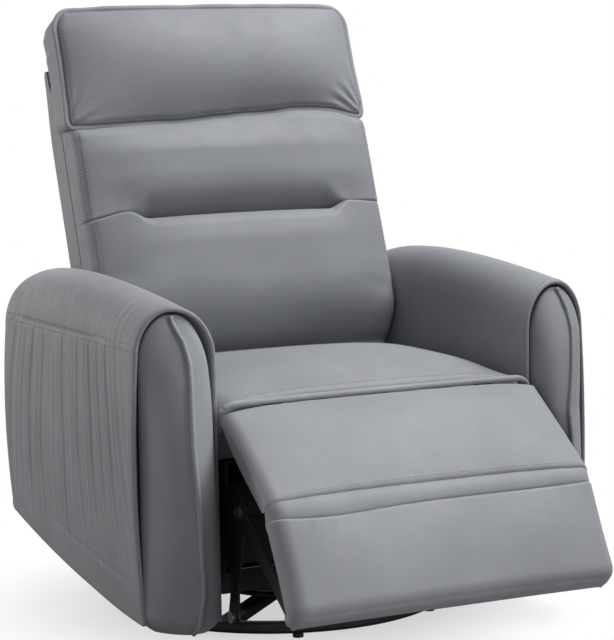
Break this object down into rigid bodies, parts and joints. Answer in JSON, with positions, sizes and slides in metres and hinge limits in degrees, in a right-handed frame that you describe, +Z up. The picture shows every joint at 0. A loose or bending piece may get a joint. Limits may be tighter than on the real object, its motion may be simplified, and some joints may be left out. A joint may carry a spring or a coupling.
{
  "type": "swivel recliner",
  "caption": "Upholstered swivel recliner on a round floor ring, with arched padded arms, a reclining back with headrest and a fold-out legrest on scissor links.",
  "frame": {"origin": "on the floor under the swivel post, at the centre of the base ring", "axes": "+Z up along the swivel axis, the chair faces -Y, +X is to the right of a viewer facing the chair"},
  "size_m": [0.8208, 1.0125, 1.0402],
  "materials": {
    "leather_grey": "soft matt grain",
    "steel_black": "satin black",
    "plywood": "raw plywood",
    "bright_steel": "zinc plated",
    "rubber_black": "matt",
    "nylon_white": "matt"
  },
  "bodies": {
    "base": {"base_ring": "steel_black", "base_spokes": "steel_black", "foot_pads": "rubber_black", "swivel_lower_plate": "steel_black", "swivel_balls": "bright_steel", "ball_cage": "nylon_white", "swivel_post": "bright_steel", "swivel_nut": "bright_steel"},
    "seat_frame": {"swivel_upper_plate": "steel_black", "base_channels": "steel_black", "swivel_bolts": "bright_steel", "mech_plate_left": "steel_black", "mech_plate_right": "steel_black", "front_rail_lower": "steel_black", "front_rail_upper": "steel_black", "seat_side_rails": "steel_black", "seat_rail_front": "steel_black", "seat_rail_rear": "steel_black", "seat_springs": "bright_steel", "seat_cushion": "leather_grey", "seat_welt": "leather_grey", "hinge_rod": "bright_steel", "seat_straps": "steel_black", "arm_frame_left": "plywood", "arm_frame_right": "plywood", "arm_cover_left": "leather_grey", "arm_cover_right": "leather_grey", "arm_front_pad_left": "leather_grey", "arm_front_pad_right": "leather_grey", "arm_spacers": "steel_black", "arm_bolts": "bright_steel", "swing_pins": "bright_steel", "back_pivot_pins": "bright_steel"},
    "back": {"back_post_left": "steel_black", "back_post_right": "steel_black", "back_rail_lower": "plywood", "back_rail_middle": "plywood", "back_rail_top": "plywood", "back_outer_panel": "leather_grey", "back_lower_pad": "leather_grey", "back_upper_pad": "leather_grey", "headrest_pad": "leather_grey"},
    "legrest": {"legrest_board": "plywood", "legrest_pad": "leather_grey", "legrest_straps": "steel_black", "fold_straps_upper": "steel_black", "fold_rod": "bright_steel", "fold_roll": "leather_grey"},
    "ottoman": {"ottoman_board": "plywood", "ottoman_pad": "leather_grey", "fold_straps_lower": "steel_black", "ottoman_brackets": "steel_black", "bracket_pins": "bright_steel"},
    "swing_front": {"swing_links_front": "steel_black", "torque_tube": "steel_black"},
    "swing_rear": {"swing_links_rear": "steel_black"},
    "carrier": {"carrier_links": "steel_black", "carrier_pins": "bright_steel"},
    "reach": {"reach_links": "steel_black"}
  },
  "joints": [
    {"name": "swivel", "type": "hinge", "parent": "base", "child": "seat_frame", "pos_m": [0, 0, 0.033], "axis": [0, 0, 1], "continuous": true},
    {"name": "back_recline", "type": "hinge", "parent": "seat_frame", "child": "back", "pos_m": [0, 0.095, 0.3], "axis": [-1, 0, 0], "range_deg": [0, 36]},
    {"name": "legrest_lift", "type": "hinge", "parent": "seat_frame", "child": "legrest", "pos_m": [0, -0.378, 0.412], "axis": [-1, 0, 0], "range_deg": [-32, 42]},
    {"name": "ottoman_fold", "type": "hinge", "parent": "legrest", "child": "ottoman", "pos_m": [0, -0.56098, 0.28003], "axis": [-1, 0, 0], "range_deg": [-12.8, 16.8]},
    {"name": "swing_front_turn", "type": "hinge", "parent": "seat_frame", "child": "swing_front", "pos_m": [0, -0.335, 0.236], "axis": [-1, 0, 0], "range_deg": [-44.8, 58.8]},
    {"name": "swing_rear_turn", "type": "hinge", "parent": "seat_frame", "child": "swing_rear", "pos_m": [0, -0.24, 0.246], "axis": [-1, 0, 0], "range_deg": [-44.8, 58.8]},
    {"name": "carrier_turn", "type": "hinge", "parent": "swing_front", "child": "carrier", "pos_m": [0, -0.33004, 0.06607], "axis": [-1, 0, 0], "range_deg": [-58.8, 44.8]},
    {"name": "reach_turn", "type": "hinge", "parent": "carrier", "child": "reach", "pos_m": [0, -0.37304, 0.24207], "axis": [-1, 0, 0], "range_deg": [-32, 42]}
  ],
  "couplings": [
    {"joint": "ottoman_fold", "follows": "legrest_lift", "ratio": 0.4},
    {"joint": "swing_front_turn", "follows": "legrest_lift", "ratio": 1.4},
    {"joint": "swing_rear_turn", "follows": "legrest_lift", "ratio": 1.4},
    {"joint": "carrier_turn", "follows": "legrest_lift", "ratio": -1.4},
    {"joint": "reach_turn", "follows": "legrest_lift", "ratio": 1}
  ]
}
